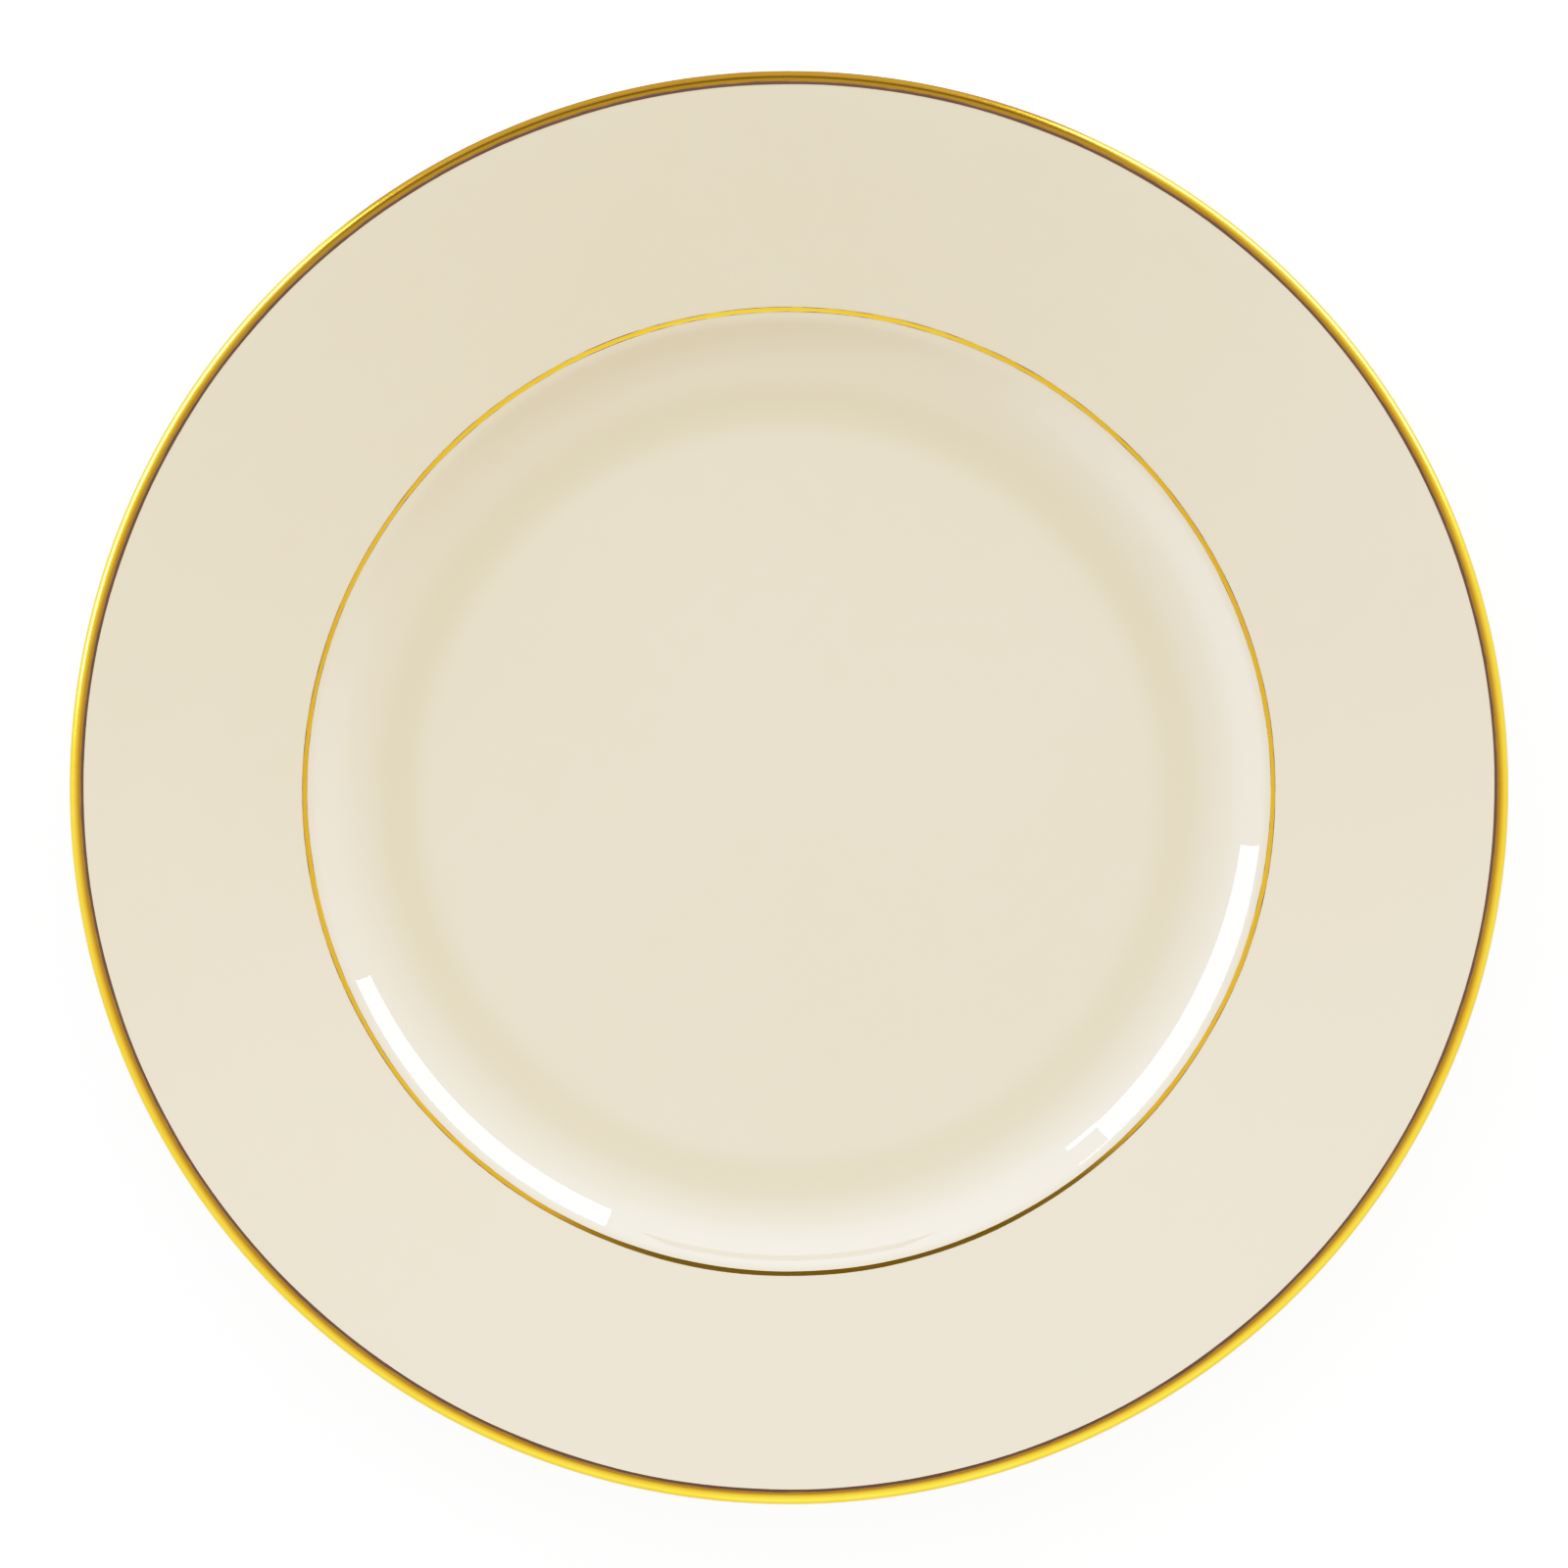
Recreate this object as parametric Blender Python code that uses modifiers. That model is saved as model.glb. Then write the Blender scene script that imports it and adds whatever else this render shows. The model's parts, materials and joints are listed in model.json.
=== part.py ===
"""China dinner plate with a gold lip and a gold line round the shoulder of its well.

Run it with: blender --background --python part.py

Lengths are in metres. +Z is up, and the origin is the centre of the foot ring, on the table.

The plate is built the way the pottery builds it. A turned porcelain body carries one coat of glaze,
which runs from the middle of the face, over the lip and down to the foot ring, and a second patch of
glaze inside the foot ring. The sole of the foot ring is wiped bare before the firing. The two bands
of gold and the mark under the base are painted on top of the glaze.

Every piece is a turned outline. The outline is a chain of arcs that are tangent to the straight runs
between them, so one outline serves every layer: a layer's depth below the finished glaze only makes
each arc larger or smaller. A heading is the direction in which the outline runs, in radians: 0 is
outwards, away from the plate's axis, and positive headings point up.
"""

import math

import bpy

# Overall size, measured over the gold.
PLATE_DIAMETER = 0.2730
PLATE_HEIGHT = 0.0290

# The face: a flat floor, a wall that curves up from it, and a wide rim.
FLOOR_RADIUS = 0.0706
WELL_FILLET = 0.0267
WALL_ANGLE = math.radians(42.0)
WALL_LENGTH = 0.0014
BACK_SHOULDER_FILLET = 0.0028
WALL_THICKNESS = 0.0042
LIP_RADIUS = 0.0019

# The foot ring, with the glaze on both of its sides. It stands inside the flat floor of the face, so
# that one plate stacks on another.
FOOT_HEIGHT = 0.0020
FOOT_WIDTH = 0.0044
FOOT_INSET = 0.0004
FOOT_ROOT_FILLET = 0.0010
FOOT_SOLE_FILLET = 0.0006
BARE_FOOT_HEIGHT = 0.0008

# The layers. A coat of glaze or gold is thinner than this on a real plate, and touches what is under it.
GLAZE_THICKNESS = 0.0003
GOLD_THICKNESS = 0.00025
MARK_THICKNESS = 0.00025
LAYER_GAP = 0.0003

# The gold and the mark.
LIP_BAND_ON_FACE = 0.0005
LIP_BAND_ON_BACK = 0.0008
SHOULDER_LINE_WIDTH = 0.00095
MARK_RADIUS = 0.0120
MARK_LINE_WIDTH = 0.0012

# How finely the solids are cut into facets: round the plate, and along each arc of an outline.
FACETS_ROUND = 60
WELL_FACETS = 4
SHOULDER_FACETS = 2
LIP_QUARTER_FACETS = 3
FOOT_FACETS = 2
AXIS_MERGE = 0.00001

# Places that follow from the sizes.
BASE_HEIGHT = FOOT_HEIGHT
FLOOR_HEIGHT = BASE_HEIGHT + WALL_THICKNESS
SHOULDER_FILLET = BACK_SHOULDER_FILLET + WALL_THICKNESS
GLAZED_LIP_RADIUS = LIP_RADIUS - GOLD_THICKNESS - LAYER_GAP
ROOT_FILLET = min(FOOT_ROOT_FILLET, FOOT_HEIGHT - BARE_FOOT_HEIGHT)
FOOT_OUTER_RADIUS = FLOOR_RADIUS - FOOT_INSET - ROOT_FILLET
FOOT_INNER_RADIUS = FOOT_OUTER_RADIUS - FOOT_WIDTH
BODY_DEPTH = GLAZE_THICKNESS + LAYER_GAP
DOWN = -math.pi / 2
INWARDS = -math.pi
UP = -3 * math.pi / 2


def along(point, heading, distance):
    """The point reached by going a distance in a heading."""
    radius, height = point
    return (radius + distance * math.cos(heading), height + distance * math.sin(heading))


def well_centre():
    return (FLOOR_RADIUS, FLOOR_HEIGHT + WELL_FILLET)


def shoulder_centre():
    """The centre of the shoulder's arcs, which start where the straight part of the wall ends."""
    wall_start = along(well_centre(), WALL_ANGLE + DOWN, WELL_FILLET)
    wall_end = along(wall_start, WALL_ANGLE, WALL_LENGTH)
    return along(wall_end, WALL_ANGLE + DOWN, SHOULDER_FILLET)


def lip_centre():
    return (PLATE_DIAMETER / 2 - LIP_RADIUS, PLATE_HEIGHT - LIP_RADIUS)


def tangent_slope(start, end, drop):
    """The slope of the line that passes start and end, and is drop nearer to end than to start."""
    run, rise = end[0] - start[0], end[1] - start[1]
    return math.atan2(rise, run) - math.asin(drop / math.hypot(run, rise))


def rim_slope():
    """The slope of the rim's face, which is tangent to the shoulder and to the top of the lip."""
    return tangent_slope(shoulder_centre(), lip_centre(), SHOULDER_FILLET - GLAZED_LIP_RADIUS)


def rim_back_slope():
    """The slope of the rim's back, which is tangent to the shoulder and to the bottom of the lip."""
    return tangent_slope(shoulder_centre(), lip_centre(), BACK_SHOULDER_FILLET + GLAZED_LIP_RADIUS)


def arc(centre, radius, start, end, facets):
    """Points of an arc from one heading to another. A rising heading turns left, round the centre."""
    side = math.copysign(math.pi / 2, end - start)
    points = []
    for step in range(facets + 1):
        heading = start + (end - start) * step / facets
        points.append(along(centre, heading - side, radius))
    return points


def face(depth):
    """The face from the plate's axis to the end of the shoulder, at a depth below its glaze."""
    return [
        (0.0, FLOOR_HEIGHT - depth),
        *arc(well_centre(), WELL_FILLET + depth, 0.0, WALL_ANGLE, WELL_FACETS),
        *arc(shoulder_centre(), SHOULDER_FILLET - depth, WALL_ANGLE, rim_slope(), SHOULDER_FACETS),
    ]


def lip(depth):
    """The round lip, whose facets meet at its highest and at its widest place."""
    centre = lip_centre()
    radius = GLAZED_LIP_RADIUS - depth
    under = rim_back_slope() + INWARDS
    return [
        along(centre, rim_slope() - DOWN, radius),
        *arc(centre, radius, 0.0, DOWN, LIP_QUARTER_FACETS),
        *arc(centre, radius, DOWN, under, LIP_QUARTER_FACETS)[1:],
    ]


def back(depth):
    """The back from the shoulder to the side of the foot ring, at a depth below its glaze."""
    root = (FOOT_OUTER_RADIUS + ROOT_FILLET, BASE_HEIGHT - ROOT_FILLET)
    rim = rim_back_slope() + INWARDS
    wall = WALL_ANGLE + INWARDS
    return [
        *arc(shoulder_centre(), BACK_SHOULDER_FILLET + depth, rim, wall, SHOULDER_FACETS),
        *arc(well_centre(), WELL_FILLET + WALL_THICKNESS - depth, wall, INWARDS, WELL_FACETS),
        *arc(root, ROOT_FILLET + depth, INWARDS, DOWN, FOOT_FACETS),
    ]


def sole(depth):
    """The bare underside of the foot ring, whose sides are at a depth below their glaze."""
    outer = (FOOT_OUTER_RADIUS - depth - FOOT_SOLE_FILLET, FOOT_SOLE_FILLET)
    inner = (FOOT_INNER_RADIUS + depth + FOOT_SOLE_FILLET, FOOT_SOLE_FILLET)
    return [
        *arc(outer, FOOT_SOLE_FILLET, DOWN, INWARDS, FOOT_FACETS),
        *arc(inner, FOOT_SOLE_FILLET, INWARDS, UP, FOOT_FACETS),
    ]


def base(depth):
    """The inside of the foot ring and the base, up to the plate's axis, at a depth below their glaze."""
    root = (FOOT_INNER_RADIUS - ROOT_FILLET, BASE_HEIGHT - ROOT_FILLET)
    return [
        *arc(root, ROOT_FILLET + depth, UP, INWARDS, FOOT_FACETS),
        (0.0, BASE_HEIGHT + depth),
    ]


def layer(outer, inner):
    """The outline of a layer between its outer and its inner surface, both running the same way."""
    return outer + inner[::-1]


def body_outline():
    return face(BODY_DEPTH) + lip(BODY_DEPTH) + back(BODY_DEPTH) + sole(BODY_DEPTH) + base(BODY_DEPTH)


def coat_surface(depth):
    """One surface of the glaze coat, which ends on the side of the foot ring, above its sole."""
    return face(depth) + lip(depth) + back(depth) + [(FOOT_OUTER_RADIUS - depth, BARE_FOOT_HEIGHT)]


def base_glaze_surface(depth):
    return [(FOOT_INNER_RADIUS + depth, BARE_FOOT_HEIGHT)] + base(depth)


def lip_band_surface(depth):
    """One surface of the gold on the lip, which runs a little way onto the face and onto the back."""
    points = lip(depth)
    face_end = along(points[0], rim_slope() + INWARDS, LIP_BAND_ON_FACE)
    back_end = along(points[-1], rim_back_slope() + INWARDS, LIP_BAND_ON_BACK)
    return [face_end, *points, back_end]


def shoulder_line_surface(depth):
    """One surface of the gold line, half on the shoulder's arc and half on the rim."""
    half = SHOULDER_LINE_WIDTH / 2
    start = rim_slope() + half / SHOULDER_FILLET
    points = arc(shoulder_centre(), SHOULDER_FILLET - depth, start, rim_slope(), SHOULDER_FACETS)
    return [*points, along(points[-1], rim_slope(), half)]


def mark_outline():
    """The mark: a plain ring under the base glaze."""
    top = BASE_HEIGHT - LAYER_GAP
    bottom = top - MARK_THICKNESS
    hole = MARK_RADIUS - MARK_LINE_WIDTH
    return [(hole, top), (MARK_RADIUS, top), (MARK_RADIUS, bottom), (hole, bottom)]


def material(name, colour, roughness, metallic=0.0):
    made = bpy.data.materials.new(name)
    made.use_nodes = True
    shader = made.node_tree.nodes["Principled BSDF"]
    shader.inputs["Base Color"].default_value = (*colour, 1.0)
    shader.inputs["Roughness"].default_value = roughness
    shader.inputs["Metallic"].default_value = metallic
    return made


def turned(name, outline, finish, collection):
    """A solid turned about +Z from an outline. One that doesn't start on the axis is a closed ring."""
    count = len(outline)
    edges = [(i, i + 1) for i in range(count - 1)]
    if outline[0][0] > 0.0:
        edges.append((count - 1, 0))
    mesh = bpy.data.meshes.new(name)
    mesh.from_pydata([(radius, 0.0, height) for radius, height in outline], edges, [])
    made = bpy.data.objects.new(name, mesh)
    mesh.materials.append(finish)
    screw = made.modifiers.new("turning", "SCREW")
    screw.axis = "Z"
    screw.angle = 2 * math.pi
    screw.steps = FACETS_ROUND
    screw.render_steps = FACETS_ROUND
    screw.use_merge_vertices = True
    screw.merge_threshold = AXIS_MERGE
    screw.use_smooth_shade = True
    collection.objects.link(made)
    return made


def clear_scene():
    for old in list(bpy.data.objects):
        bpy.data.objects.remove(old, do_unlink=True)


def main():
    clear_scene()
    plate = bpy.data.collections.new("china dinner plate")
    bpy.context.scene.collection.children.link(plate)

    bisque = material("bare porcelain", (0.72, 0.66, 0.55), 0.85)
    glaze = material("cream glaze", (0.80, 0.74, 0.62), 0.08)
    gold = material("bright gold", (0.83, 0.56, 0.14), 0.18, metallic=1.0)

    gold_top = -LAYER_GAP - GOLD_THICKNESS
    coat = layer(coat_surface(0.0), coat_surface(GLAZE_THICKNESS))
    base_coat = layer(base_glaze_surface(GLAZE_THICKNESS)[::-1], base_glaze_surface(0.0)[::-1])
    lip_band = layer(lip_band_surface(gold_top), lip_band_surface(-LAYER_GAP))
    line = layer(shoulder_line_surface(gold_top), shoulder_line_surface(-LAYER_GAP))

    turned("porcelain_body", body_outline(), bisque, plate)
    turned("glaze_coat", coat, glaze, plate)
    turned("base_glaze", base_coat, glaze, plate)
    turned("lip_gold_band", lip_band, gold, plate)
    turned("shoulder_gold_line", line, gold, plate)
    turned("base_mark_ring", mark_outline(), gold, plate)


main()
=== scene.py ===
"""Cream china dinner plate with a gilded lip and a gold line round the shoulder of its well.

Lengths are in metres and angles in radians. +Z is up, and the plate turns about the Z axis.

Each piece of the plate is an outline that a lathe turns about the plate's axis. A pen draws the outline
in the XZ plane with straight runs and round turns. A heading is the direction in which the pen moves: 0
is outwards, away from the axis, and positive headings point up. A depth is measured from the finished
surface of the glaze into the china, so a film of gold on top of the glaze has a negative depth.
"""

import json
import math

import bmesh
import bpy
from bpy.props import FloatProperty, FloatVectorProperty, IntProperty, PointerProperty
from bpy.types import Operator, Panel, PropertyGroup
from mathutils import Matrix, Vector, noise


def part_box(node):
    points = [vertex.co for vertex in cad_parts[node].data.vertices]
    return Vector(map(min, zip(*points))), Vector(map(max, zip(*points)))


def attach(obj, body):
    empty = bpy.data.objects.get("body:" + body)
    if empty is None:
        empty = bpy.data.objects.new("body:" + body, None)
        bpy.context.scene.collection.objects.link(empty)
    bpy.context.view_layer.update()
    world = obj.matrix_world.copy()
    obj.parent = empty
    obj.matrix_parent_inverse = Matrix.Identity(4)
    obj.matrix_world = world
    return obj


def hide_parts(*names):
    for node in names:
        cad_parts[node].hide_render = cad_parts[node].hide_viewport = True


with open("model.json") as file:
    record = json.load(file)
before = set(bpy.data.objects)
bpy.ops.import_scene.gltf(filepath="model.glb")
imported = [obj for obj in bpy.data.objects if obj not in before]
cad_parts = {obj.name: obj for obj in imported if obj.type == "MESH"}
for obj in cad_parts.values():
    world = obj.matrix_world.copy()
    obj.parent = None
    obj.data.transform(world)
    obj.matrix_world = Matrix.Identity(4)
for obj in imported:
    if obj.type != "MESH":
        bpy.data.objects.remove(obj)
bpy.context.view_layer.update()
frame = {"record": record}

bl_info = {
    "name": "China dinner plate",
    "version": (1, 0, 0),
    "blender": (4, 5, 0),
    "location": "3D View > Sidebar > Plate",
    "description": "Turns a glazed china dinner plate with brushed gold bands, and lights it in a studio",
    "category": "Add Mesh",
}

MOUNTS = {mount["name"]: mount["pos_m"] for mount in frame["record"]["mounts"]}
LIP_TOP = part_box("lip_gold_band")[1]
COAT_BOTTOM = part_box("glaze_coat")[0]
MARK_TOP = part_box("base_mark_ring")[1]

OUT = 0.0
DOWN = -math.pi / 2
INWARDS = -math.pi
UP = -3 * math.pi / 2
FULL_TURN = 2 * math.pi


# ---------------------------------------------------------------- sizes and colours


class PlateSizes(PropertyGroup):
    """The sizes of the plate."""

    radius: FloatProperty(
        name="Radius", description="From the axis to the widest place of the gold on the lip",
        default=LIP_TOP.x - 0.0002, unit="LENGTH", precision=4)
    height: FloatProperty(
        name="Height", description="From the table to the top of the gold on the lip",
        default=LIP_TOP.z, unit="LENGTH", precision=4)
    floor_height: FloatProperty(
        name="Floor height", description="From the table to the glazed floor of the well",
        default=MOUNTS["well_floor"][2], unit="LENGTH", precision=4)
    floor_radius: FloatProperty(
        name="Floor radius", description="From the axis to where the floor starts to curve up",
        default=0.0706, unit="LENGTH", precision=4)
    well_fillet: FloatProperty(
        name="Well fillet", description="Radius of the curve between the floor and the wall",
        default=0.0267, unit="LENGTH", precision=4)
    wall_angle: FloatProperty(
        name="Wall angle", description="Slope of the steepest part of the wall",
        default=math.radians(42.0), unit="ROTATION")
    wall_length: FloatProperty(
        name="Wall length", description="Length of the straight part of the wall",
        default=0.0014, unit="LENGTH", precision=4)
    shoulder_fillet: FloatProperty(
        name="Shoulder fillet", description="Radius of the curve between the wall and the rim",
        default=0.0070, unit="LENGTH", precision=4)
    thickness: FloatProperty(
        name="Thickness", description="Thickness of the glazed china at the well",
        default=0.0042, unit="LENGTH", precision=4)
    lip_radius: FloatProperty(
        name="Lip radius", description="Radius of the rounded lip, with its gold",
        default=0.0019, unit="LENGTH", precision=4)
    glaze: FloatProperty(
        name="Glaze", description="Thickness of the glaze",
        default=0.0002, unit="LENGTH", precision=5)
    gold: FloatProperty(
        name="Gold", description="Thickness of the layer of gold, with the rise of its edge",
        default=0.00006, unit="LENGTH", precision=5)
    contact: FloatProperty(
        name="Contact", description="The clearance between two layers that touch",
        default=0.00001, unit="LENGTH", precision=5)
    gold_on_face: FloatProperty(
        name="Gold on the face", description="How far the lip's gold runs onto the rim",
        default=0.0003, unit="LENGTH", precision=4)
    gold_on_back: FloatProperty(
        name="Gold on the back", description="How far the lip's gold runs onto the back",
        default=0.0008, unit="LENGTH", precision=4)
    line_width: FloatProperty(
        name="Line width", description="Width of the gold line on the shoulder",
        default=0.00095, unit="LENGTH", precision=5)
    brush_wander: FloatProperty(
        name="Brush wander", description="How far the edge of the brushed gold wanders",
        default=0.00016, unit="LENGTH", precision=5)
    # The lip's gold is darkened along its edges: thin gold with a painted dark reflection.
    lip_dark_edge: FloatProperty(
        name="Lip stain", description="Width of the brown stain along the edges of the lip's gold",
        default=0.00095, unit="LENGTH", precision=5)
    # The line's gold is darkened along its edges: thin gold with a painted dark reflection.
    line_dark_edge: FloatProperty(
        name="Line stain", description="Width of the brown stain along the edges of the gold line",
        default=0.00008, unit="LENGTH", precision=5)
    foot_height: FloatProperty(
        name="Foot height", description="From the table to the glazed base inside the foot ring",
        default=0.0020, unit="LENGTH", precision=4)
    foot_radius: FloatProperty(
        name="Foot radius", description="From the axis to the middle of the foot ring",
        default=MOUNTS["foot_sole"][0], unit="LENGTH", precision=4)
    foot_width: FloatProperty(
        name="Foot width", description="Width of the glazed foot ring",
        default=0.0044, unit="LENGTH", precision=4)
    foot_root: FloatProperty(
        name="Foot root", description="Radius of the curves where the foot ring meets the base",
        default=0.0010, unit="LENGTH", precision=4)
    foot_sole: FloatProperty(
        name="Foot sole", description="Radius of the rounded edges of the bare sole",
        default=0.0006, unit="LENGTH", precision=4)
    bare_foot: FloatProperty(
        name="Bare foot", description="Height of the bare band above the table",
        default=COAT_BOTTOM.z, unit="LENGTH", precision=4)
    mark_radius: FloatProperty(
        name="Mark radius", description="Outer radius of the ring printed under the base",
        default=MARK_TOP.x, unit="LENGTH", precision=4)
    mark_thickness: FloatProperty(
        name="Mark thickness", description="Thickness of the gold printed under the base",
        default=0.00004, unit="LENGTH", precision=5)
    around: IntProperty(
        name="Facets around", description="Number of steps in which a piece is turned",
        default=256, min=24)


class PlateColours(PropertyGroup):
    """The colours of the plate."""

    cream: FloatVectorProperty(
        name="Cream", description="Glazed china where it is plain",
        default=(0.800, 0.680, 0.504), size=3, subtype="COLOR")
    warm_cream: FloatVectorProperty(
        name="Warm cream", description="Glazed china where the glaze is thicker",
        default=(0.792, 0.668, 0.491), size=3, subtype="COLOR")
    # Painted shade: the darker cream laid round the hollow where the floor turns up into the wall.
    hollow_shade_cream: FloatVectorProperty(
        name="Pooled cream", description="Glazed china where the glaze has run together in a hollow",
        default=(0.735, 0.620, 0.438), size=3, subtype="COLOR")
    bisque: FloatVectorProperty(
        name="Bare china", description="Unglazed china of the foot ring",
        default=(0.70, 0.62, 0.49), size=3, subtype="COLOR")
    sole_wear: FloatVectorProperty(
        name="Sole wear", description="Grey marks that shelves leave on the sole",
        default=(0.34, 0.31, 0.27), size=3, subtype="COLOR")
    gold: FloatVectorProperty(
        name="Gold", description="Bright gold where it is thick",
        default=(0.90, 0.50, 0.042), size=3, subtype="COLOR")
    deep_gold: FloatVectorProperty(
        name="Deep gold", description="Gold where the brush left it thicker and redder",
        default=(0.87, 0.455, 0.030), size=3, subtype="COLOR")
    # Painted reflection: the dark brown laid along the edges of the gold, where the gold also runs thin.
    thin_gold_and_painted_reflection: FloatVectorProperty(
        name="Thin gold", description="The brown stain where the gold runs out at its edge",
        default=(0.085, 0.036, 0.038), size=3, subtype="COLOR")


# ---------------------------------------------------------------- shader maths

# The Mix node's sockets for colours, by number, because its sockets share their names.
COLOUR_A = 6
COLOUR_B = 7
COLOUR_RESULT = 2


class Wire:
    """One output of a node. Arithmetic on wires adds Math nodes to their tree."""

    def __init__(self, graph, socket):
        self.graph = graph
        self.socket = socket

    def math(self, operation, *terms):
        node = self.graph.node("ShaderNodeMath", {"operation": operation}, dict(enumerate(terms)))
        return node["Value"]

    def __add__(self, other):
        return self.math("ADD", self, other)

    def __radd__(self, other):
        return self.math("ADD", other, self)

    def __sub__(self, other):
        return self.math("SUBTRACT", self, other)

    def __rsub__(self, other):
        return self.math("SUBTRACT", other, self)

    def __mul__(self, other):
        return self.math("MULTIPLY", self, other)

    def __rmul__(self, other):
        return self.math("MULTIPLY", other, self)

    def __truediv__(self, other):
        return self.math("DIVIDE", self, other)

    def __rtruediv__(self, other):
        return self.math("DIVIDE", other, self)

    def __pow__(self, other):
        return self.math("POWER", self, other)

    def at_least(self, other):
        return self.math("MAXIMUM", self, other)

    def at_most(self, other):
        return self.math("MINIMUM", self, other)

    def fade(self, start, end):
        """0 at start and 1 at end, with a smooth change between them and no change past them."""
        ranges = {1: start, 2: end, 3: 0.0, 4: 1.0}
        settings = {"interpolation_type": "SMOOTHSTEP"}
        if start > end:
            ranges = {1: end, 2: start, 3: 1.0, 4: 0.0}
        return self.graph.node("ShaderNodeMapRange", settings, {0: self, **ranges})["Result"]


class Built:
    """A node that is in place. Its outputs are read by name or number."""

    def __init__(self, graph, node):
        self.graph = graph
        self.node = node

    def __getitem__(self, name):
        return Wire(self.graph, self.node.outputs[name])


class Graph:
    """The node tree of a material or of the world."""

    def __init__(self, owner):
        owner.use_nodes = True
        self.tree = owner.node_tree
        self.tree.nodes.clear()

    def node(self, kind, settings=None, sockets=None):
        """A node of a type, with its settings set first and then the values or links of its sockets."""
        made = self.tree.nodes.new(kind)
        for name, value in (settings or {}).items():
            setattr(made, name, value)
        for name, value in (sockets or {}).items():
            if isinstance(value, Wire):
                self.tree.links.new(value.socket, made.inputs[name])
            else:
                made.inputs[name].default_value = value
        return Built(self, made)

    def place(self):
        return self.node("ShaderNodeTexCoord")["Object"]

    def axes(self, vector):
        """The X, Y and Z of a vector."""
        parts = self.node("ShaderNodeSeparateXYZ", None, {"Vector": vector})
        return parts["X"], parts["Y"], parts["Z"]

    def vector(self, x, y, z):
        return self.node("ShaderNodeCombineXYZ", None, {"X": x, "Y": y, "Z": z})["Vector"]

    def grain(self, vector, scale, detail=2.0, roughness=0.5):
        """Noise between 0 and 1, with scale in features per metre."""
        sockets = {"Vector": vector, "Scale": scale, "Detail": detail, "Roughness": roughness}
        return self.node("ShaderNodeTexNoise", {"noise_dimensions": "3D"}, sockets)["Fac"]

    def blend(self, share, first, second):
        """A colour that is first where share is 0 and second where it is 1."""
        sockets = {0: share, COLOUR_A: as_colour(first), COLOUR_B: as_colour(second)}
        return self.node("ShaderNodeMix", {"data_type": "RGBA"}, sockets)[COLOUR_RESULT]

    def bump(self, height, relief, below=None):
        """A normal from a height between 0 and 1 that stands for a relief in metres."""
        sockets = {"Strength": 1.0, "Distance": relief, "Height": height}
        if below is not None:
            sockets["Normal"] = below
        return self.node("ShaderNodeBump", None, sockets)["Normal"]

    def surface(self, sockets):
        shader = self.node("ShaderNodeBsdfPrincipled", None, sockets)
        self.node("ShaderNodeOutputMaterial", None, {"Surface": shader["BSDF"]})


def as_colour(value):
    """A colour socket's value: a wire as it is, and three numbers with an opacity of 1."""
    return value if isinstance(value, Wire) else (*value, 1.0)


def from_axis(graph, x, y):
    """The distance from the plate's axis."""
    return (x * x + y * y) ** 0.5


def rough_number(graph, vector, scale, low, high):
    """A roughness that wanders between two values."""
    return low + graph.grain(vector, scale) * (high - low)


# ---------------------------------------------------------------- materials


def glazed_china(colours, sizes):
    """Cream china under a clear glossy glaze that is a little wavy, and duller where it is used, with
    painted shade in the hollow round the floor.
    """
    made = bpy.data.materials.new("cream glaze")
    graph = Graph(made)
    place = graph.place()
    x, y, z = graph.axes(place)
    cloud = graph.grain(place, 14.0, 3.0)
    mottle = graph.grain(place, 160.0, 2.0)
    share = (cloud * 0.7 + mottle * 0.3).fade(0.35, 0.65)
    clay = graph.blend(share, tuple(colours.cream), tuple(colours.warm_cream))
    radius = from_axis(graph, x, y)
    # Painted shade: a darker cream is laid round the hollow where the floor turns up into the wall.
    hollow = radius.fade(sizes.floor_radius - 0.003, sizes.floor_radius + 0.003)
    hollow = hollow * radius.fade(sizes.floor_radius + 0.011, sizes.floor_radius + 0.005)
    clay = graph.blend(hollow, clay, tuple(colours.hollow_shade_cream))
    # Just above the bare foot the glaze is wiped thin, so the clay shows.
    roll = z.fade(sizes.bare_foot + 0.0007, sizes.bare_foot)
    colour = graph.blend(roll * 0.35, clay, tuple(colours.bisque))
    # The floor and the rim are used and wiped more than the wall between them.
    used = radius.fade(sizes.floor_radius + 0.004, sizes.floor_radius - 0.004)
    used = used + radius.fade(sizes.floor_radius + 0.021, sizes.floor_radius + 0.024)
    wave = graph.bump(graph.grain(place, 28.0, 1.0), 0.00005)
    peel = graph.bump(graph.grain(place, 520.0, 1.0), 0.0000010, wave)
    graph.surface({
        "Base Color": colour,
        "Roughness": rough_number(graph, place, 45.0, 0.20, 0.32),
        "IOR": 1.5,
        "Specular IOR Level": 0.0,
        "Coat Weight": 1.0 - used * 0.65,
        "Coat Roughness": 0.0,
        "Coat IOR": 1.5,
        "Normal": peel,
    })
    return made


def bare_china(colours, sizes):
    """Fired china without glaze, ground flat on the sole and greyed by the shelves it has stood on."""
    made = bpy.data.materials.new("bare china")
    graph = Graph(made)
    place = graph.place()
    x, y, z = graph.axes(place)
    radius = from_axis(graph, x, y)
    rings = graph.grain(graph.vector(x * 0.12, y * 0.12, radius), 2600.0, 3.0)
    speck = graph.grain(place, 1400.0, 3.0)
    on_sole = z.fade(0.0005, 0.0001)
    worn = (graph.grain(place, 90.0, 4.0).fade(0.45, 0.75) * rings.fade(0.35, 0.7) * on_sole)
    clean = graph.blend(speck.fade(0.3, 0.8) * 0.3, tuple(colours.bisque), tuple(colours.cream))
    colour = graph.blend(worn * 0.55, clean, tuple(colours.sole_wear))
    graph.surface({
        "Base Color": colour,
        "Roughness": 0.62 + speck * 0.25,
        "Normal": graph.bump(rings * 0.6 + speck * 0.4, 0.00002),
    })
    return made


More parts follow.
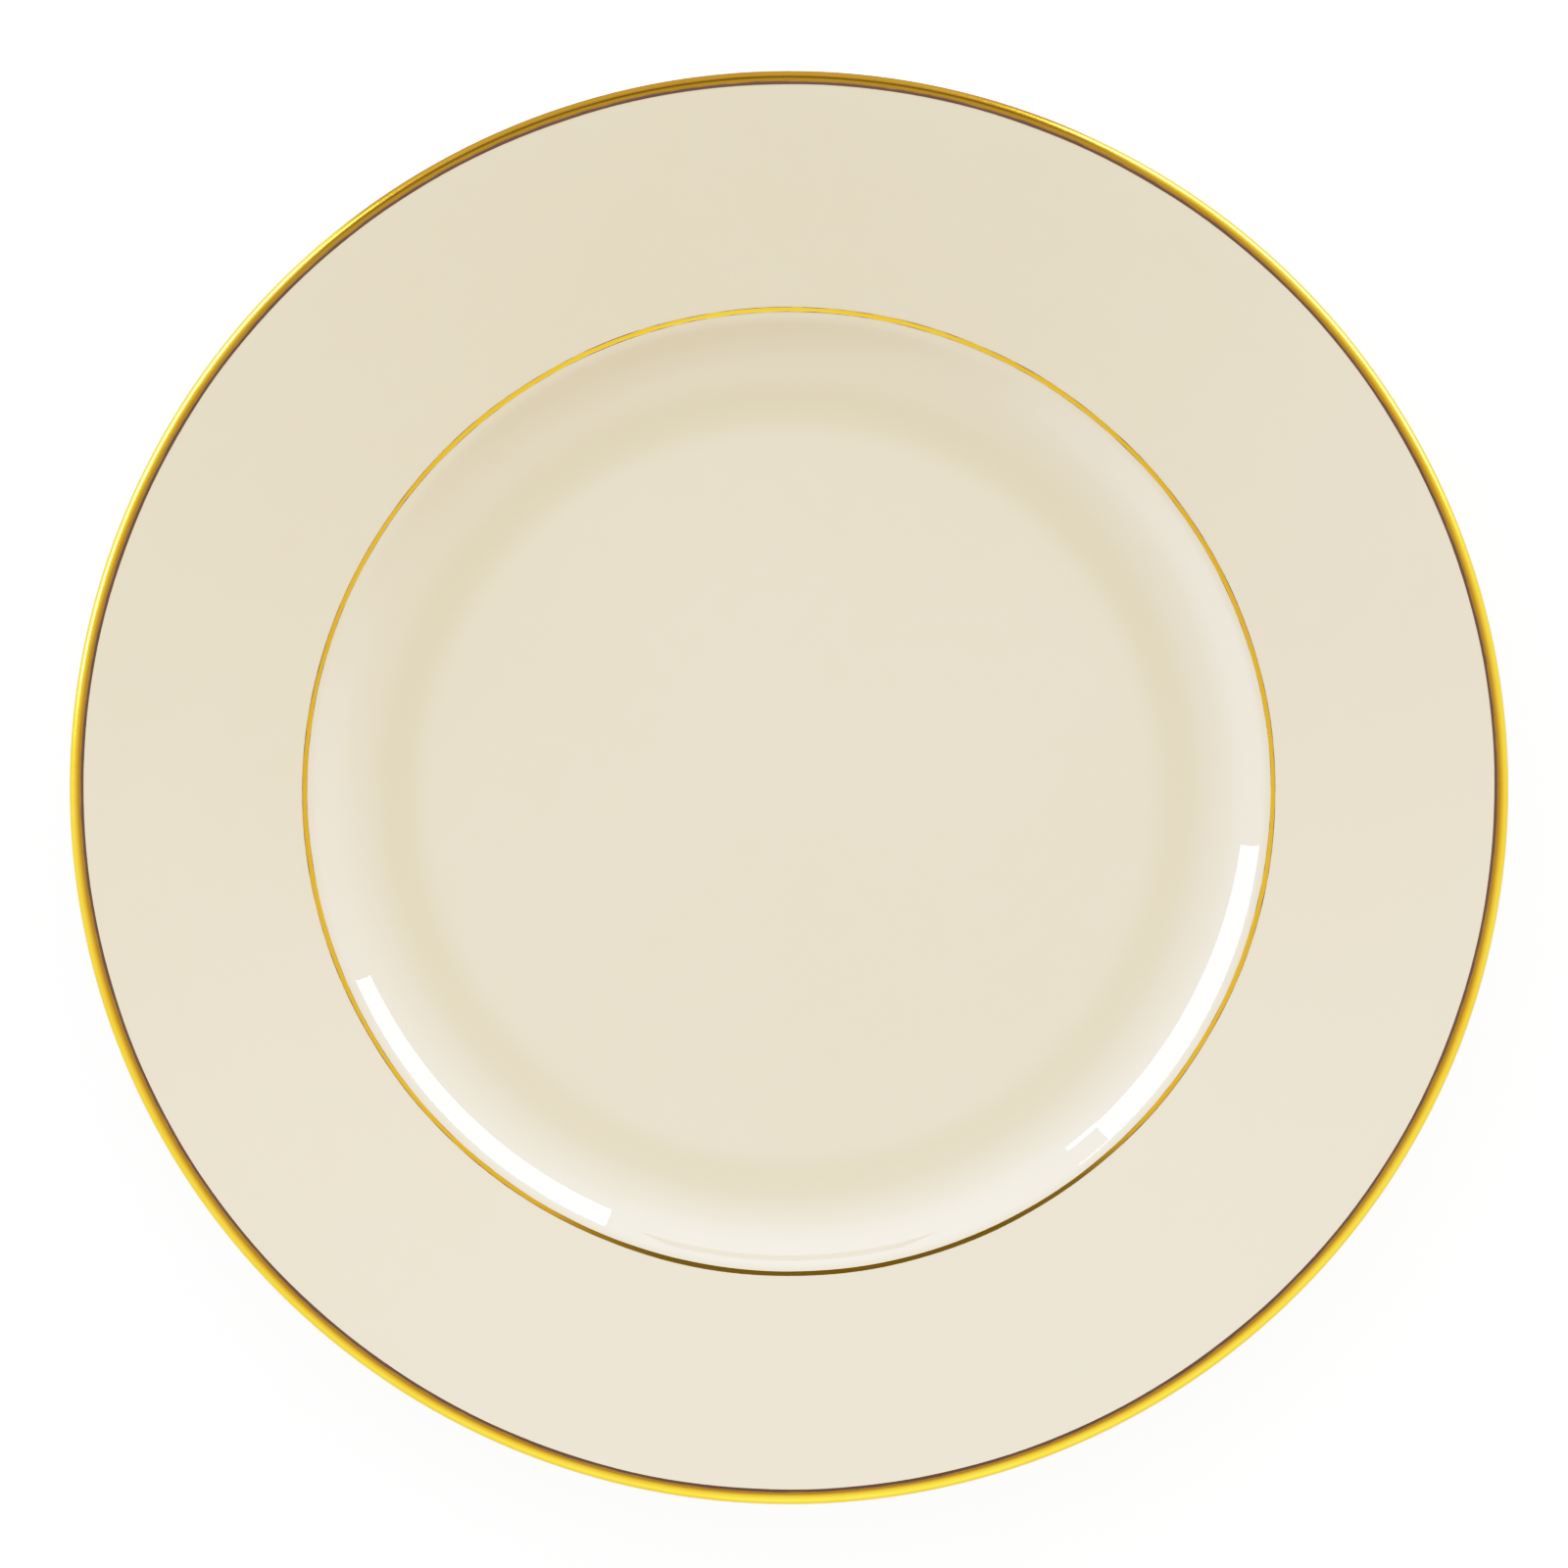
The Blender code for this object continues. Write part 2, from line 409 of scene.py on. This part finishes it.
def brushed_gold(name, colours, width, stain):
    """Burnished gold laid on with a brush: streaks run round the plate, and the edges are thin and painted
    darker as a dark reflection.
    """
    made = bpy.data.materials.new(name)
    graph = Graph(made)
    place = graph.place()
    x, y, z = graph.axes(place)
    across = graph.node("ShaderNodeAttribute", {"attribute_name": "across"})["Fac"]
    # Streaks are long round the plate, where the pattern is squeezed, and fine across the stroke.
    streak_place = graph.vector(x * 0.02, y * 0.02, across)
    streaks = graph.grain(streak_place, 4200.0, 2.0)
    patches = graph.grain(place, 60.0, 3.0)
    colour = graph.blend(
        (streaks * 0.4 + patches * 0.6).fade(0.4, 0.65), tuple(colours.gold), tuple(colours.deep_gold))
    # Painted reflection: the gold is darkened along both edges, where it also runs thin and less metallic.
    edge = across.at_most(width - across) + (graph.grain(place, 240.0, 3.0) - 0.5) * 0.0004
    thin = edge.fade(stain, stain * 0.4)
    graph.surface({
        "Base Color": graph.blend(thin * 0.95, colour, tuple(colours.thin_gold_and_painted_reflection)),
        "Metallic": 1.0 - thin * 0.5,
        "Roughness": 0.13 + streaks * 0.08 + thin * 0.2,
        "Normal": graph.bump(streaks, 0.000004),
    })
    return made


def printed_gold(colours):
    """The flat gold of a printed mark, a little broken up."""
    made = bpy.data.materials.new("printed gold")
    graph = Graph(made)
    place = graph.place()
    patches = graph.grain(place, 900.0, 3.0)
    graph.surface({
        "Base Color": graph.blend(patches.fade(0.35, 0.75), tuple(colours.gold), tuple(colours.deep_gold)),
        "Metallic": 0.9,
        "Roughness": 0.3 + patches * 0.2,
        "Normal": graph.bump(patches, 0.000003),
    })
    return made


# ---------------------------------------------------------------- outlines


def along(point, heading, distance):
    """The point reached by going a distance in a heading."""
    radius, height = point
    return (radius + distance * math.cos(heading), height + distance * math.sin(heading))


def tangent_slope(start, end, drop):
    """The slope of the line that passes start and end, and is drop nearer to end than to start."""
    run, rise = end[0] - start[0], end[1] - start[1]
    return math.atan2(rise, run) - math.asin(drop / math.hypot(run, rise))


class Form:
    """Where the plate's arcs and slopes are, worked out from its sizes."""

    def __init__(self, sizes):
        self.well = (sizes.floor_radius, sizes.floor_height + sizes.well_fillet)
        wall_start = along(self.well, sizes.wall_angle + DOWN, sizes.well_fillet)
        wall_end = along(wall_start, sizes.wall_angle, sizes.wall_length)
        self.shoulder = along(wall_end, sizes.wall_angle + DOWN, sizes.shoulder_fillet)
        self.lip = (sizes.radius - sizes.lip_radius, sizes.height - sizes.lip_radius)
        self.lip_radius = sizes.lip_radius - sizes.gold - sizes.contact
        self.back_fillet = sizes.shoulder_fillet - sizes.thickness
        self.rim = tangent_slope(self.shoulder, self.lip, sizes.shoulder_fillet - self.lip_radius)
        self.back = tangent_slope(self.shoulder, self.lip, self.back_fillet + self.lip_radius)
        self.wall = sizes.wall_angle
        self.foot_outer = sizes.foot_radius + sizes.foot_width / 2
        self.foot_inner = sizes.foot_radius - sizes.foot_width / 2
        self.base_height = sizes.foot_height


class Outline:
    """A pen that draws in the XZ plane. What it has drawn is then turned about the plate's axis."""

    def __init__(self):
        self.mesh = bmesh.new()
        self.across = self.mesh.verts.layers.float.new("across")
        self.tip = None
        self.heading = OUT
        self.travelled = 0.0

    def start(self, point, heading):
        """Puts the pen down, and returns the first point."""
        self.tip = self.mesh.verts.new((point[0], 0.0, point[1]))
        self.heading = heading
        self.travelled = 0.0
        return self.tip

    def run(self, length, steps=1):
        """Draws a straight stretch."""
        stride = Vector((math.cos(self.heading), 0.0, math.sin(self.heading))) * (length / steps)
        for step in range(steps):
            made = bmesh.ops.extrude_vert_indiv(self.mesh, verts=[self.tip])
            self.tip = made["verts"][0]
            bmesh.ops.translate(self.mesh, verts=[self.tip], vec=stride)
            self.travelled += length / steps
            self.tip[self.across] = self.travelled

    def run_to(self, point, steps=1):
        """Draws a straight stretch to a point."""
        run, rise = point[0] - self.tip.co.x, point[1] - self.tip.co.z
        heading = math.atan2(rise, run)
        self.heading = heading + FULL_TURN * round((self.heading - heading) / FULL_TURN)
        self.run(math.hypot(run, rise), steps)

    def turn(self, radius, heading, steps):
        """Draws an arc, tangent to the pen's path, until the pen moves in the new heading."""
        angle = heading - self.heading
        side = self.heading + math.copysign(math.pi / 2, angle)
        centre = self.tip.co + Vector((math.cos(side), 0.0, math.sin(side))) * radius
        for step in range(steps):
            made = bmesh.ops.spin(
                self.mesh, geom=[self.tip], cent=centre, axis=(0.0, -1.0, 0.0), angle=angle / steps,
                steps=1)
            self.tip = made["geom_last"][0]
            self.travelled += radius * abs(angle) / steps
            self.tip[self.across] = self.travelled
        self.heading = heading

    def join(self, first, last):
        """Closes the outline with an edge."""
        bmesh.ops.contextual_create(self.mesh, geom=[first, last])

    def turned(self, steps):
        """Turns the outline about the Z axis and returns the mesh."""
        bmesh.ops.spin(
            self.mesh, geom=self.mesh.verts[:] + self.mesh.edges[:], cent=(0.0, 0.0, 0.0),
            axis=(0.0, 0.0, 1.0), angle=FULL_TURN, steps=steps, use_merge=True)
        bmesh.ops.remove_doubles(self.mesh, verts=self.mesh.verts[:], dist=0.0000005)
        return self.mesh


def draw_face(pen, form, sizes, depth):
    """Draws the face from the plate's axis to the lip, and returns its first point."""
    first = pen.start((0.0, sizes.floor_height - depth), OUT)
    pen.run(sizes.floor_radius, 6)
    pen.turn(sizes.well_fillet + depth, sizes.wall_angle, 18)
    pen.run(sizes.wall_length)
    pen.turn(sizes.shoulder_fillet - depth, form.rim, 12)
    pen.run_to(along(form.lip, form.rim - DOWN, form.lip_radius - depth), 6)
    return first


def draw_lip(pen, form, depth):
    """Draws the rounded lip, up to the start of the rim's back."""
    pen.turn(form.lip_radius - depth, form.back + INWARDS, 20)


def draw_back(pen, form, sizes, depth):
    """Draws the back, from the lip to the outer side of the foot ring."""
    pen.run_to(along(form.shoulder, form.back - DOWN, form.back_fillet + depth), 3)
    pen.turn(form.back_fillet + depth, form.wall + INWARDS, 8)
    pen.run_to(along(form.well, form.wall + DOWN, sizes.well_fillet + sizes.thickness - depth))
    pen.turn(sizes.well_fillet + sizes.thickness - depth, INWARDS, 12)
    pen.run_to((form.foot_outer + sizes.foot_root, form.base_height + depth))
    pen.turn(sizes.foot_root + depth, DOWN, 6)


def draw_sole(pen, form, sizes, depth):
    """Draws the bare foot ring, from its outer to its inner side."""
    pen.run_to((form.foot_outer - depth, sizes.foot_sole))
    pen.turn(sizes.foot_sole, INWARDS, 5)
    pen.run_to((form.foot_inner + depth + sizes.foot_sole, 0.0), 3)
    pen.turn(sizes.foot_sole, UP, 5)


def draw_base(pen, form, sizes, depth):
    """Draws the inner side of the foot ring and the base, to the plate's axis."""
    pen.run_to((form.foot_inner + depth, form.base_height - sizes.foot_root))
    pen.turn(sizes.foot_root + depth, INWARDS, 6)
    pen.run_to((0.0, form.base_height + depth), 6)


def finished(name, mesh, material, slot, *nodes):
    """Makes the object of a piece, gives it its finish and hides the solids that it stands for."""
    bmesh.ops.recalc_face_normals(mesh, faces=mesh.faces[:])
    data = bpy.data.meshes.new(name)
    mesh.to_mesh(data)
    mesh.free()
    data.shade_smooth()
    data.set_sharp_from_angle(angle=math.radians(40.0))
    data.materials.append(material)
    piece = bpy.data.objects.new(name, data)
    bpy.context.scene.collection.objects.link(piece)
    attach(piece, "root")
    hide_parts(*nodes)
    return piece


def wander(mesh, across, width, slope, reach, amount, seed):
    """Lets both edges of a turned band wander along the surface, as the edges of a brush stroke do."""
    for vert in mesh.verts:
        x, y, z = vert.co
        radius = math.hypot(x, y)
        outwards = Vector((x / radius * math.cos(slope), y / radius * math.cos(slope), math.sin(slope)))
        round_place = Vector((x / radius, y / radius, seed))
        drift = noise.noise(round_place * 3.1) * 0.6 + noise.noise(round_place * 11.0) * 0.4
        here = vert[across]
        if here < reach:
            vert.co += outwards * (drift * amount * (1.0 - here / reach))
        if width - here < reach:
            other = noise.noise(round_place * 4.3 + Vector((5.0, 2.0, 1.0)))
            vert.co += outwards * (other * amount * (1.0 - (width - here) / reach))


# ---------------------------------------------------------------- operators


def look(name, make):
    """A material of the file by name, made the first time that a piece asks for it."""
    return bpy.data.materials.get(name) or make()


class PLATE_OT_body(Operator):
    """Turn the china body, with its foot ring"""

    bl_idname = "china_plate.body"
    bl_label = "China body"

    def execute(self, context):
        sizes, colours = context.scene.china_plate_sizes, context.scene.china_plate_colours
        form = Form(sizes)
        depth = sizes.glaze + sizes.contact
        pen = Outline()
        draw_face(pen, form, sizes, depth)
        draw_lip(pen, form, depth)
        draw_back(pen, form, sizes, depth)
        draw_sole(pen, form, sizes, depth)
        draw_base(pen, form, sizes, depth)
        china = look("bare china", lambda: bare_china(colours, sizes))
        finished("china_body", pen.turned(sizes.around), china, "bare_porcelain", "porcelain_body")
        return {"FINISHED"}


class PLATE_OT_glaze(Operator):
    """Coat the face, the lip, the back and the base with glaze, and leave the sole bare"""

    bl_idname = "china_plate.glaze"
    bl_label = "Glaze"

    def execute(self, context):
        sizes, colours = context.scene.china_plate_sizes, context.scene.china_plate_colours
        form = Form(sizes)
        glaze = look("cream glaze", lambda: glazed_china(colours, sizes))

        pen = Outline()
        ends = []
        for depth in (0.0, sizes.glaze):
            draw_face(pen, form, sizes, depth)
            draw_lip(pen, form, depth)
            draw_back(pen, form, sizes, depth)
            pen.run_to((form.foot_outer - depth, sizes.bare_foot))
            ends.append(pen.tip)
        pen.join(*ends)
        finished("face_and_back_glaze", pen.turned(sizes.around), glaze, "cream_glaze", "glaze_coat")

        pen = Outline()
        starts = []
        for depth in (0.0, sizes.glaze):
            starts.append(pen.start((form.foot_inner + depth, sizes.bare_foot), UP))
            draw_base(pen, form, sizes, depth)
        pen.join(*starts)
        finished("base_glaze_patch", pen.turned(sizes.around), glaze, "cream_glaze", "base_glaze")
        return {"FINISHED"}


class PLATE_OT_gold(Operator):
    """Brush the gold onto the lip and round the shoulder"""

    bl_idname = "china_plate.gold"
    bl_label = "Brushed gold"

    def execute(self, context):
        sizes, colours = context.scene.china_plate_sizes, context.scene.china_plate_colours
        form = Form(sizes)

        pen = Outline()
        starts, ends = [], []
        for depth in (-sizes.contact - sizes.gold, -sizes.contact):
            rim_end = along(form.lip, form.rim - DOWN, form.lip_radius - depth)
            starts.append(pen.start(along(rim_end, form.rim + INWARDS, sizes.gold_on_face), form.rim))
            pen.run(sizes.gold_on_face, 4)
            draw_lip(pen, form, depth)
            pen.run(sizes.gold_on_back, 4)
            ends.append(pen.tip)
            band_width = pen.travelled
        pen.join(*starts)
        pen.join(*ends)
        mesh = pen.turned(sizes.around)
        wander(mesh, pen.across, band_width, form.rim, sizes.gold_on_face, sizes.brush_wander, 1.7)
        band_gold = look("brushed lip gold", lambda: brushed_gold(
            "brushed lip gold", colours, band_width, sizes.lip_dark_edge))
        finished("lip_gold", mesh, band_gold, "bright_gold", "lip_gold_band")

        pen = Outline()
        starts, ends = [], []
        half = sizes.line_width / 2
        heading = form.rim + half / sizes.shoulder_fillet
        for depth in (-sizes.contact - sizes.gold, -sizes.contact):
            fillet = sizes.shoulder_fillet - depth
            starts.append(pen.start(along(form.shoulder, heading - DOWN, fillet), heading))
            pen.turn(fillet, form.rim, 4)
            pen.run(half, 4)
            ends.append(pen.tip)
            line_width = pen.travelled
        pen.join(*starts)
        pen.join(*ends)
        mesh = pen.turned(sizes.around)
        wander(mesh, pen.across, line_width, form.rim, half, sizes.brush_wander, 4.2)
        line_gold = look("brushed line gold", lambda: brushed_gold(
            "brushed line gold", colours, line_width, sizes.line_dark_edge))
        finished("shoulder_gold", mesh, line_gold, "bright_gold", "shoulder_gold_line")
        return {"FINISHED"}


class PLATE_OT_mark(Operator):
    """Print the plain mark under the base: two rings round a rosette, with no lettering"""

    bl_idname = "china_plate.mark"
    bl_label = "Base mark"

    def execute(self, context):
        sizes, colours = context.scene.china_plate_sizes, context.scene.china_plate_colours
        top = sizes.foot_height - sizes.contact
        rings = ((sizes.mark_radius, 0.0007), (sizes.mark_radius * 0.88, 0.0003))
        pen = Outline()
        for outer, width in rings:
            first = pen.start((outer - width, top), OUT)
            pen.run(width)
            pen.heading = DOWN
            pen.run(sizes.mark_thickness)
            pen.heading = INWARDS
            pen.run(width)
            pen.join(first, pen.tip)
        mesh = pen.turned(96)
        petals = 8
        for petal in range(petals):
            made = bmesh.ops.create_circle(mesh, cap_ends=True, segments=20, radius=0.0026)
            verts = made["verts"]
            bmesh.ops.scale(mesh, verts=verts, vec=(1.0, 0.38, 1.0))
            bmesh.ops.translate(mesh, verts=verts, vec=(sizes.mark_radius * 0.38, 0.0, top))
            turn = Matrix.Rotation(FULL_TURN * petal / petals, 3, "Z")
            bmesh.ops.rotate(mesh, verts=verts, cent=(0.0, 0.0, 0.0), matrix=turn)
            face = verts[0].link_faces[0]
            grown = bmesh.ops.extrude_face_region(mesh, geom=[face], use_keep_orig=True)
            lower = [g for g in grown["geom"] if isinstance(g, bmesh.types.BMVert)]
            bmesh.ops.translate(mesh, verts=lower, vec=(0.0, 0.0, -sizes.mark_thickness))
        gold = look("printed gold", lambda: printed_gold(colours))
        finished("base_mark", mesh, gold, "bright_gold", "base_mark_ring")
        return {"FINISHED"}


class PLATE_OT_studio(Operator):
    """Set up the pale floor, the soft lights round the table and the camera above it"""

    bl_idname = "china_plate.studio"
    bl_label = "Studio"

    def execute(self, context):
        make_floor()
        make_sky(context.scene)
        for name, azimuth, spread, bottom, top, power in SOFTBOXES:
            make_softbox(name, azimuth, spread, bottom, top, power)
        make_camera(context.scene)
        set_film(context.scene.view_settings)
        return {"FINISHED"}


# ---------------------------------------------------------------- studio

# The radiance that the film shows as pure white.
WHITE = 2.2
# Azimuths are counted from +X towards +Y. The brighter side of the room is behind the plate.
BACK = math.radians(97.0)
WARM_SIDE = math.radians(315.0)
# Half the width of the dark card behind the plate, which only the gold mirrors, and of its soft edge.
CARD_INSIDE = math.cos(math.radians(28.0))
CARD_OUTSIDE = math.cos(math.radians(33.0))
# The table top's size, and how far it lies under the sole.
TABLE_RADIUS = 12.0
TABLE_DROP = 0.0001
# The azimuth, sharpness and radiance of each glow low down in the room that the glaze mirrors.
GLOWS = ((math.radians(200.0), 2.0, 4.2), (math.radians(5.0), 3.0, 2.6), (BACK, 2.0, 5.0))
SOFTBOX_DISTANCE = 1.3
# Each light's name, azimuth, width in azimuth, height of its bottom and top, and radiance.
SOFTBOXES = (
    ("right softbox", math.radians(49.0), math.radians(40.5), 0.04, 0.38, 26.0),
    ("left softbox", math.radians(148.3), math.radians(39.1), 0.04, 0.48, 26.0),
    ("left softbox wing", math.radians(126.5), math.radians(4.5), 0.36, 0.48, 26.0),
)
CAMERA_TILT = math.radians(5.05)
CAMERA_DISTANCE = 3.0
CAMERA_LENS = 363.5
CAMERA_AIM = Vector((-0.00095, 0.0003, 0.0255))


def make_floor():
    """A wide pale table top that is lit a little from below, so that it stays clean and white."""
    mesh = bmesh.new()
    bmesh.ops.create_circle(mesh, cap_ends=True, segments=96, radius=TABLE_RADIUS)
    bmesh.ops.translate(mesh, verts=mesh.verts[:], vec=(0.0, 0.0, -TABLE_DROP))
    data = bpy.data.meshes.new("table_top")
    mesh.to_mesh(data)
    mesh.free()
    made = bpy.data.materials.new("white table top")
    graph = Graph(made)
    rays = graph.node("ShaderNodeLightPath")
    seen = rays["Is Camera Ray"]
    in_glaze = rays["Is Singular Ray"]
    in_gold = rays["Is Glossy Ray"] - in_glaze
    x, y, z = graph.axes(graph.place())
    radius = from_axis(graph, x, y).at_least(0.001)
    far = radius.fade(0.25, 0.8)
    facing = (x * math.cos(BACK) + y * math.sin(BACK)) / radius
    dark = in_gold * facing.fade(CARD_OUTSIDE, CARD_INSIDE)
    graph.surface({
        "Base Color": graph.blend(dark, (0.85, 0.85, 0.85), (0.10, 0.10, 0.10)),
        "Roughness": 0.9,
        "Specular IOR Level": 0.1,
        "Emission Color": (1.0, 1.0, 1.0, 1.0),
        "Emission Strength": seen * 1.3 + in_gold * 0.4 + in_glaze * far * 3.6,
    })
    data.materials.append(made)
    floor = bpy.data.objects.new("table_top", data)
    bpy.context.scene.collection.objects.link(floor)


def make_sky(scene):
    """The room round the table. What lights the plate is kept apart from what is mirrored in it.

    The glaze is a perfect mirror, so its rays are singular, and the gold's rays are glossy but not
    singular. After a diffuse bounce every ray sees the plain dome, which keeps the shade clean.
    """
    world = bpy.data.worlds.new("studio")
    scene.world = world
    graph = Graph(world)
    direction = graph.node("ShaderNodeTexCoord")["Generated"]
    x, y, z = graph.axes(direction)
    level = (x * x + y * y).at_least(0.0001) ** 0.5

    def facing(azimuth):
        return (x * math.cos(azimuth) + y * math.sin(azimuth)) / level

    def side(azimuth, sharpness):
        return facing(azimuth).at_least(0.0) ** sharpness

    def above(start, end):
        """0 below the first elevation and 1 above the second one, in degrees."""
        return z.fade(math.sin(math.radians(start)), math.sin(math.radians(end)))

    # The dome lights the china from all sides, and from the back most.
    dome = 1.29 + 0.74 * (x * math.cos(BACK) + y * math.sin(BACK))

    # The gold mirrors a room that is dark overhead and brighter in front, with a dark card at the back.
    card = facing(BACK).fade(CARD_OUTSIDE, CARD_INSIDE)
    gold_room = 0.36 + (1.0 - z).at_least(0.0) ** 0.5 * 1.3
    gold_room = gold_room * (1.0 + side(math.radians(278.0), 3.0) * 0.6)
    gold_room = gold_room * (1.0 - card * (1.0 - above(64.0, 82.0)) * 0.62)
    gold_room = gold_room * (1.0 - card * (above(36.0, 44.0) - above(52.0, 60.0)) * 0.7)

    # The glaze mirrors a room that is dark overhead and bright low down at the sides and the back.
    horizon = 1.0 - above(14.0, 50.0)
    glaze_room = 0.36 + (1.0 - above(40.0, 78.0)) * 0.6
    for azimuth, sharpness, radiance in GLOWS:
        glaze_room = glaze_room + side(azimuth, sharpness) * horizon * radiance
    glaze_room = glaze_room * (1.0 - side(math.radians(285.0), 2.0) * horizon * 0.7)

    rays = graph.node("ShaderNodeLightPath")
    seen = rays["Is Camera Ray"]
    first = 1.0 - rays["Diffuse Depth"].at_most(1.0)
    mirrored = rays["Is Glossy Ray"] * first
    in_glaze = rays["Is Singular Ray"] * first
    in_gold = mirrored - in_glaze
    strength = seen * WHITE + in_glaze * glaze_room + in_gold * gold_room
    strength = strength + (1.0 - seen - mirrored) * dome
    warmth = 0.5 + 0.5 * (x * math.cos(WARM_SIDE) + y * math.sin(WARM_SIDE))
    tint = graph.blend(warmth, (0.94, 1.00, 1.08), (1.06, 1.00, 0.88))
    tint = graph.blend(seen + mirrored, tint, (1.0, 1.0, 1.0))
    background = graph.node("ShaderNodeBackground", None, {"Color": tint, "Strength": strength})
    graph.node("ShaderNodeOutputWorld", None, {"Surface": background["Background"]})


def make_softbox(name, azimuth, spread, bottom, top, radiance):
    """A soft light that stands on the table's edge and faces the plate."""
    width = 2 * SOFTBOX_DISTANCE * math.tan(spread / 2)
    height = top - bottom
    data = bpy.data.lights.new(name, "AREA")
    data.shape = "RECTANGLE"
    data.size = width
    data.size_y = height
    data.energy = radiance * math.pi * width * height
    # The light shows only in what the camera sees directly, so no stray flecks land on the china.
    graph = Graph(data)
    bounced = graph.node("ShaderNodeLightPath")["Diffuse Depth"].at_most(1.0)
    glow = graph.node("ShaderNodeEmission", None, {"Strength": 1.0 - bounced})
    graph.node("ShaderNodeOutputLight", None, {"Surface": glow["Emission"]})
    light = bpy.data.objects.new(name, data)
    middle = (bottom + top) / 2
    light.location = (
        SOFTBOX_DISTANCE * math.cos(azimuth), SOFTBOX_DISTANCE * math.sin(azimuth), middle)
    light.rotation_euler = (math.pi / 2, 0.0, azimuth + math.pi / 2)
    light.visible_camera = False
    light.visible_diffuse = False
    bpy.context.scene.collection.objects.link(light)


def make_camera(scene):
    """A camera with a long lens, almost straight above the plate."""
    data = bpy.data.cameras.new("camera")
    data.lens = CAMERA_LENS
    data.sensor_width = 36.0
    data.clip_start = 0.05
    data.clip_end = 50.0
    camera = bpy.data.objects.new("camera", data)
    towards = Vector((0.0, -math.sin(CAMERA_TILT), math.cos(CAMERA_TILT)))
    camera.location = CAMERA_AIM + towards * CAMERA_DISTANCE
    camera.rotation_euler = (CAMERA_TILT, 0.0, 0.0)
    scene.collection.objects.link(camera)
    scene.camera = camera


def set_film(view):
    """Lets bright tones run softly into white, as film does, and leaves darker ones as they are."""
    view.view_transform = "Standard"
    view.look = "None"
    view.use_curve_mapping = True
    mapping = view.curve_mapping
    mapping.white_level = (WHITE, WHITE, WHITE)
    shoulder = 0.5
    curve = mapping.curves[3]
    for level in (0.25, 0.5, 0.65, 0.8, 1.0, 1.2, 1.5, 1.8):
        tone = level
        if level > shoulder:
            tone = 1.0 - (1.0 - shoulder) * math.exp(-(level - shoulder) / (1.0 - shoulder))
        curve.points.new(level / WHITE, tone)
    mapping.update()


class VIEW3D_PT_china_plate(Panel):
    """Sizes, colours and pieces of the china plate"""

    bl_label = "China plate"
    bl_space_type = "VIEW_3D"
    bl_region_type = "UI"
    bl_category = "Plate"

    def draw(self, context):
        layout = self.layout
        for group in (context.scene.china_plate_sizes, context.scene.china_plate_colours):
            box = layout.box()
            for name in group.__annotations__:
                box.prop(group, name)
        for operator in OPERATORS:
            layout.operator(operator.bl_idname)


OPERATORS = (PLATE_OT_body, PLATE_OT_glaze, PLATE_OT_gold, PLATE_OT_mark, PLATE_OT_studio)
CLASSES = (PlateSizes, PlateColours, *OPERATORS, VIEW3D_PT_china_plate)


def register():
    for cls in CLASSES:
        bpy.utils.register_class(cls)
    bpy.types.Scene.china_plate_sizes = PointerProperty(type=PlateSizes)
    bpy.types.Scene.china_plate_colours = PointerProperty(type=PlateColours)


def unregister():
    del bpy.types.Scene.china_plate_colours
    del bpy.types.Scene.china_plate_sizes
    for cls in reversed(CLASSES):
        bpy.utils.unregister_class(cls)


def main():
    register()
    bpy.ops.china_plate.body()
    bpy.ops.china_plate.glaze()
    bpy.ops.china_plate.gold()
    bpy.ops.china_plate.mark()
    bpy.ops.china_plate.studio()


if __name__ == "__main__":
    main()
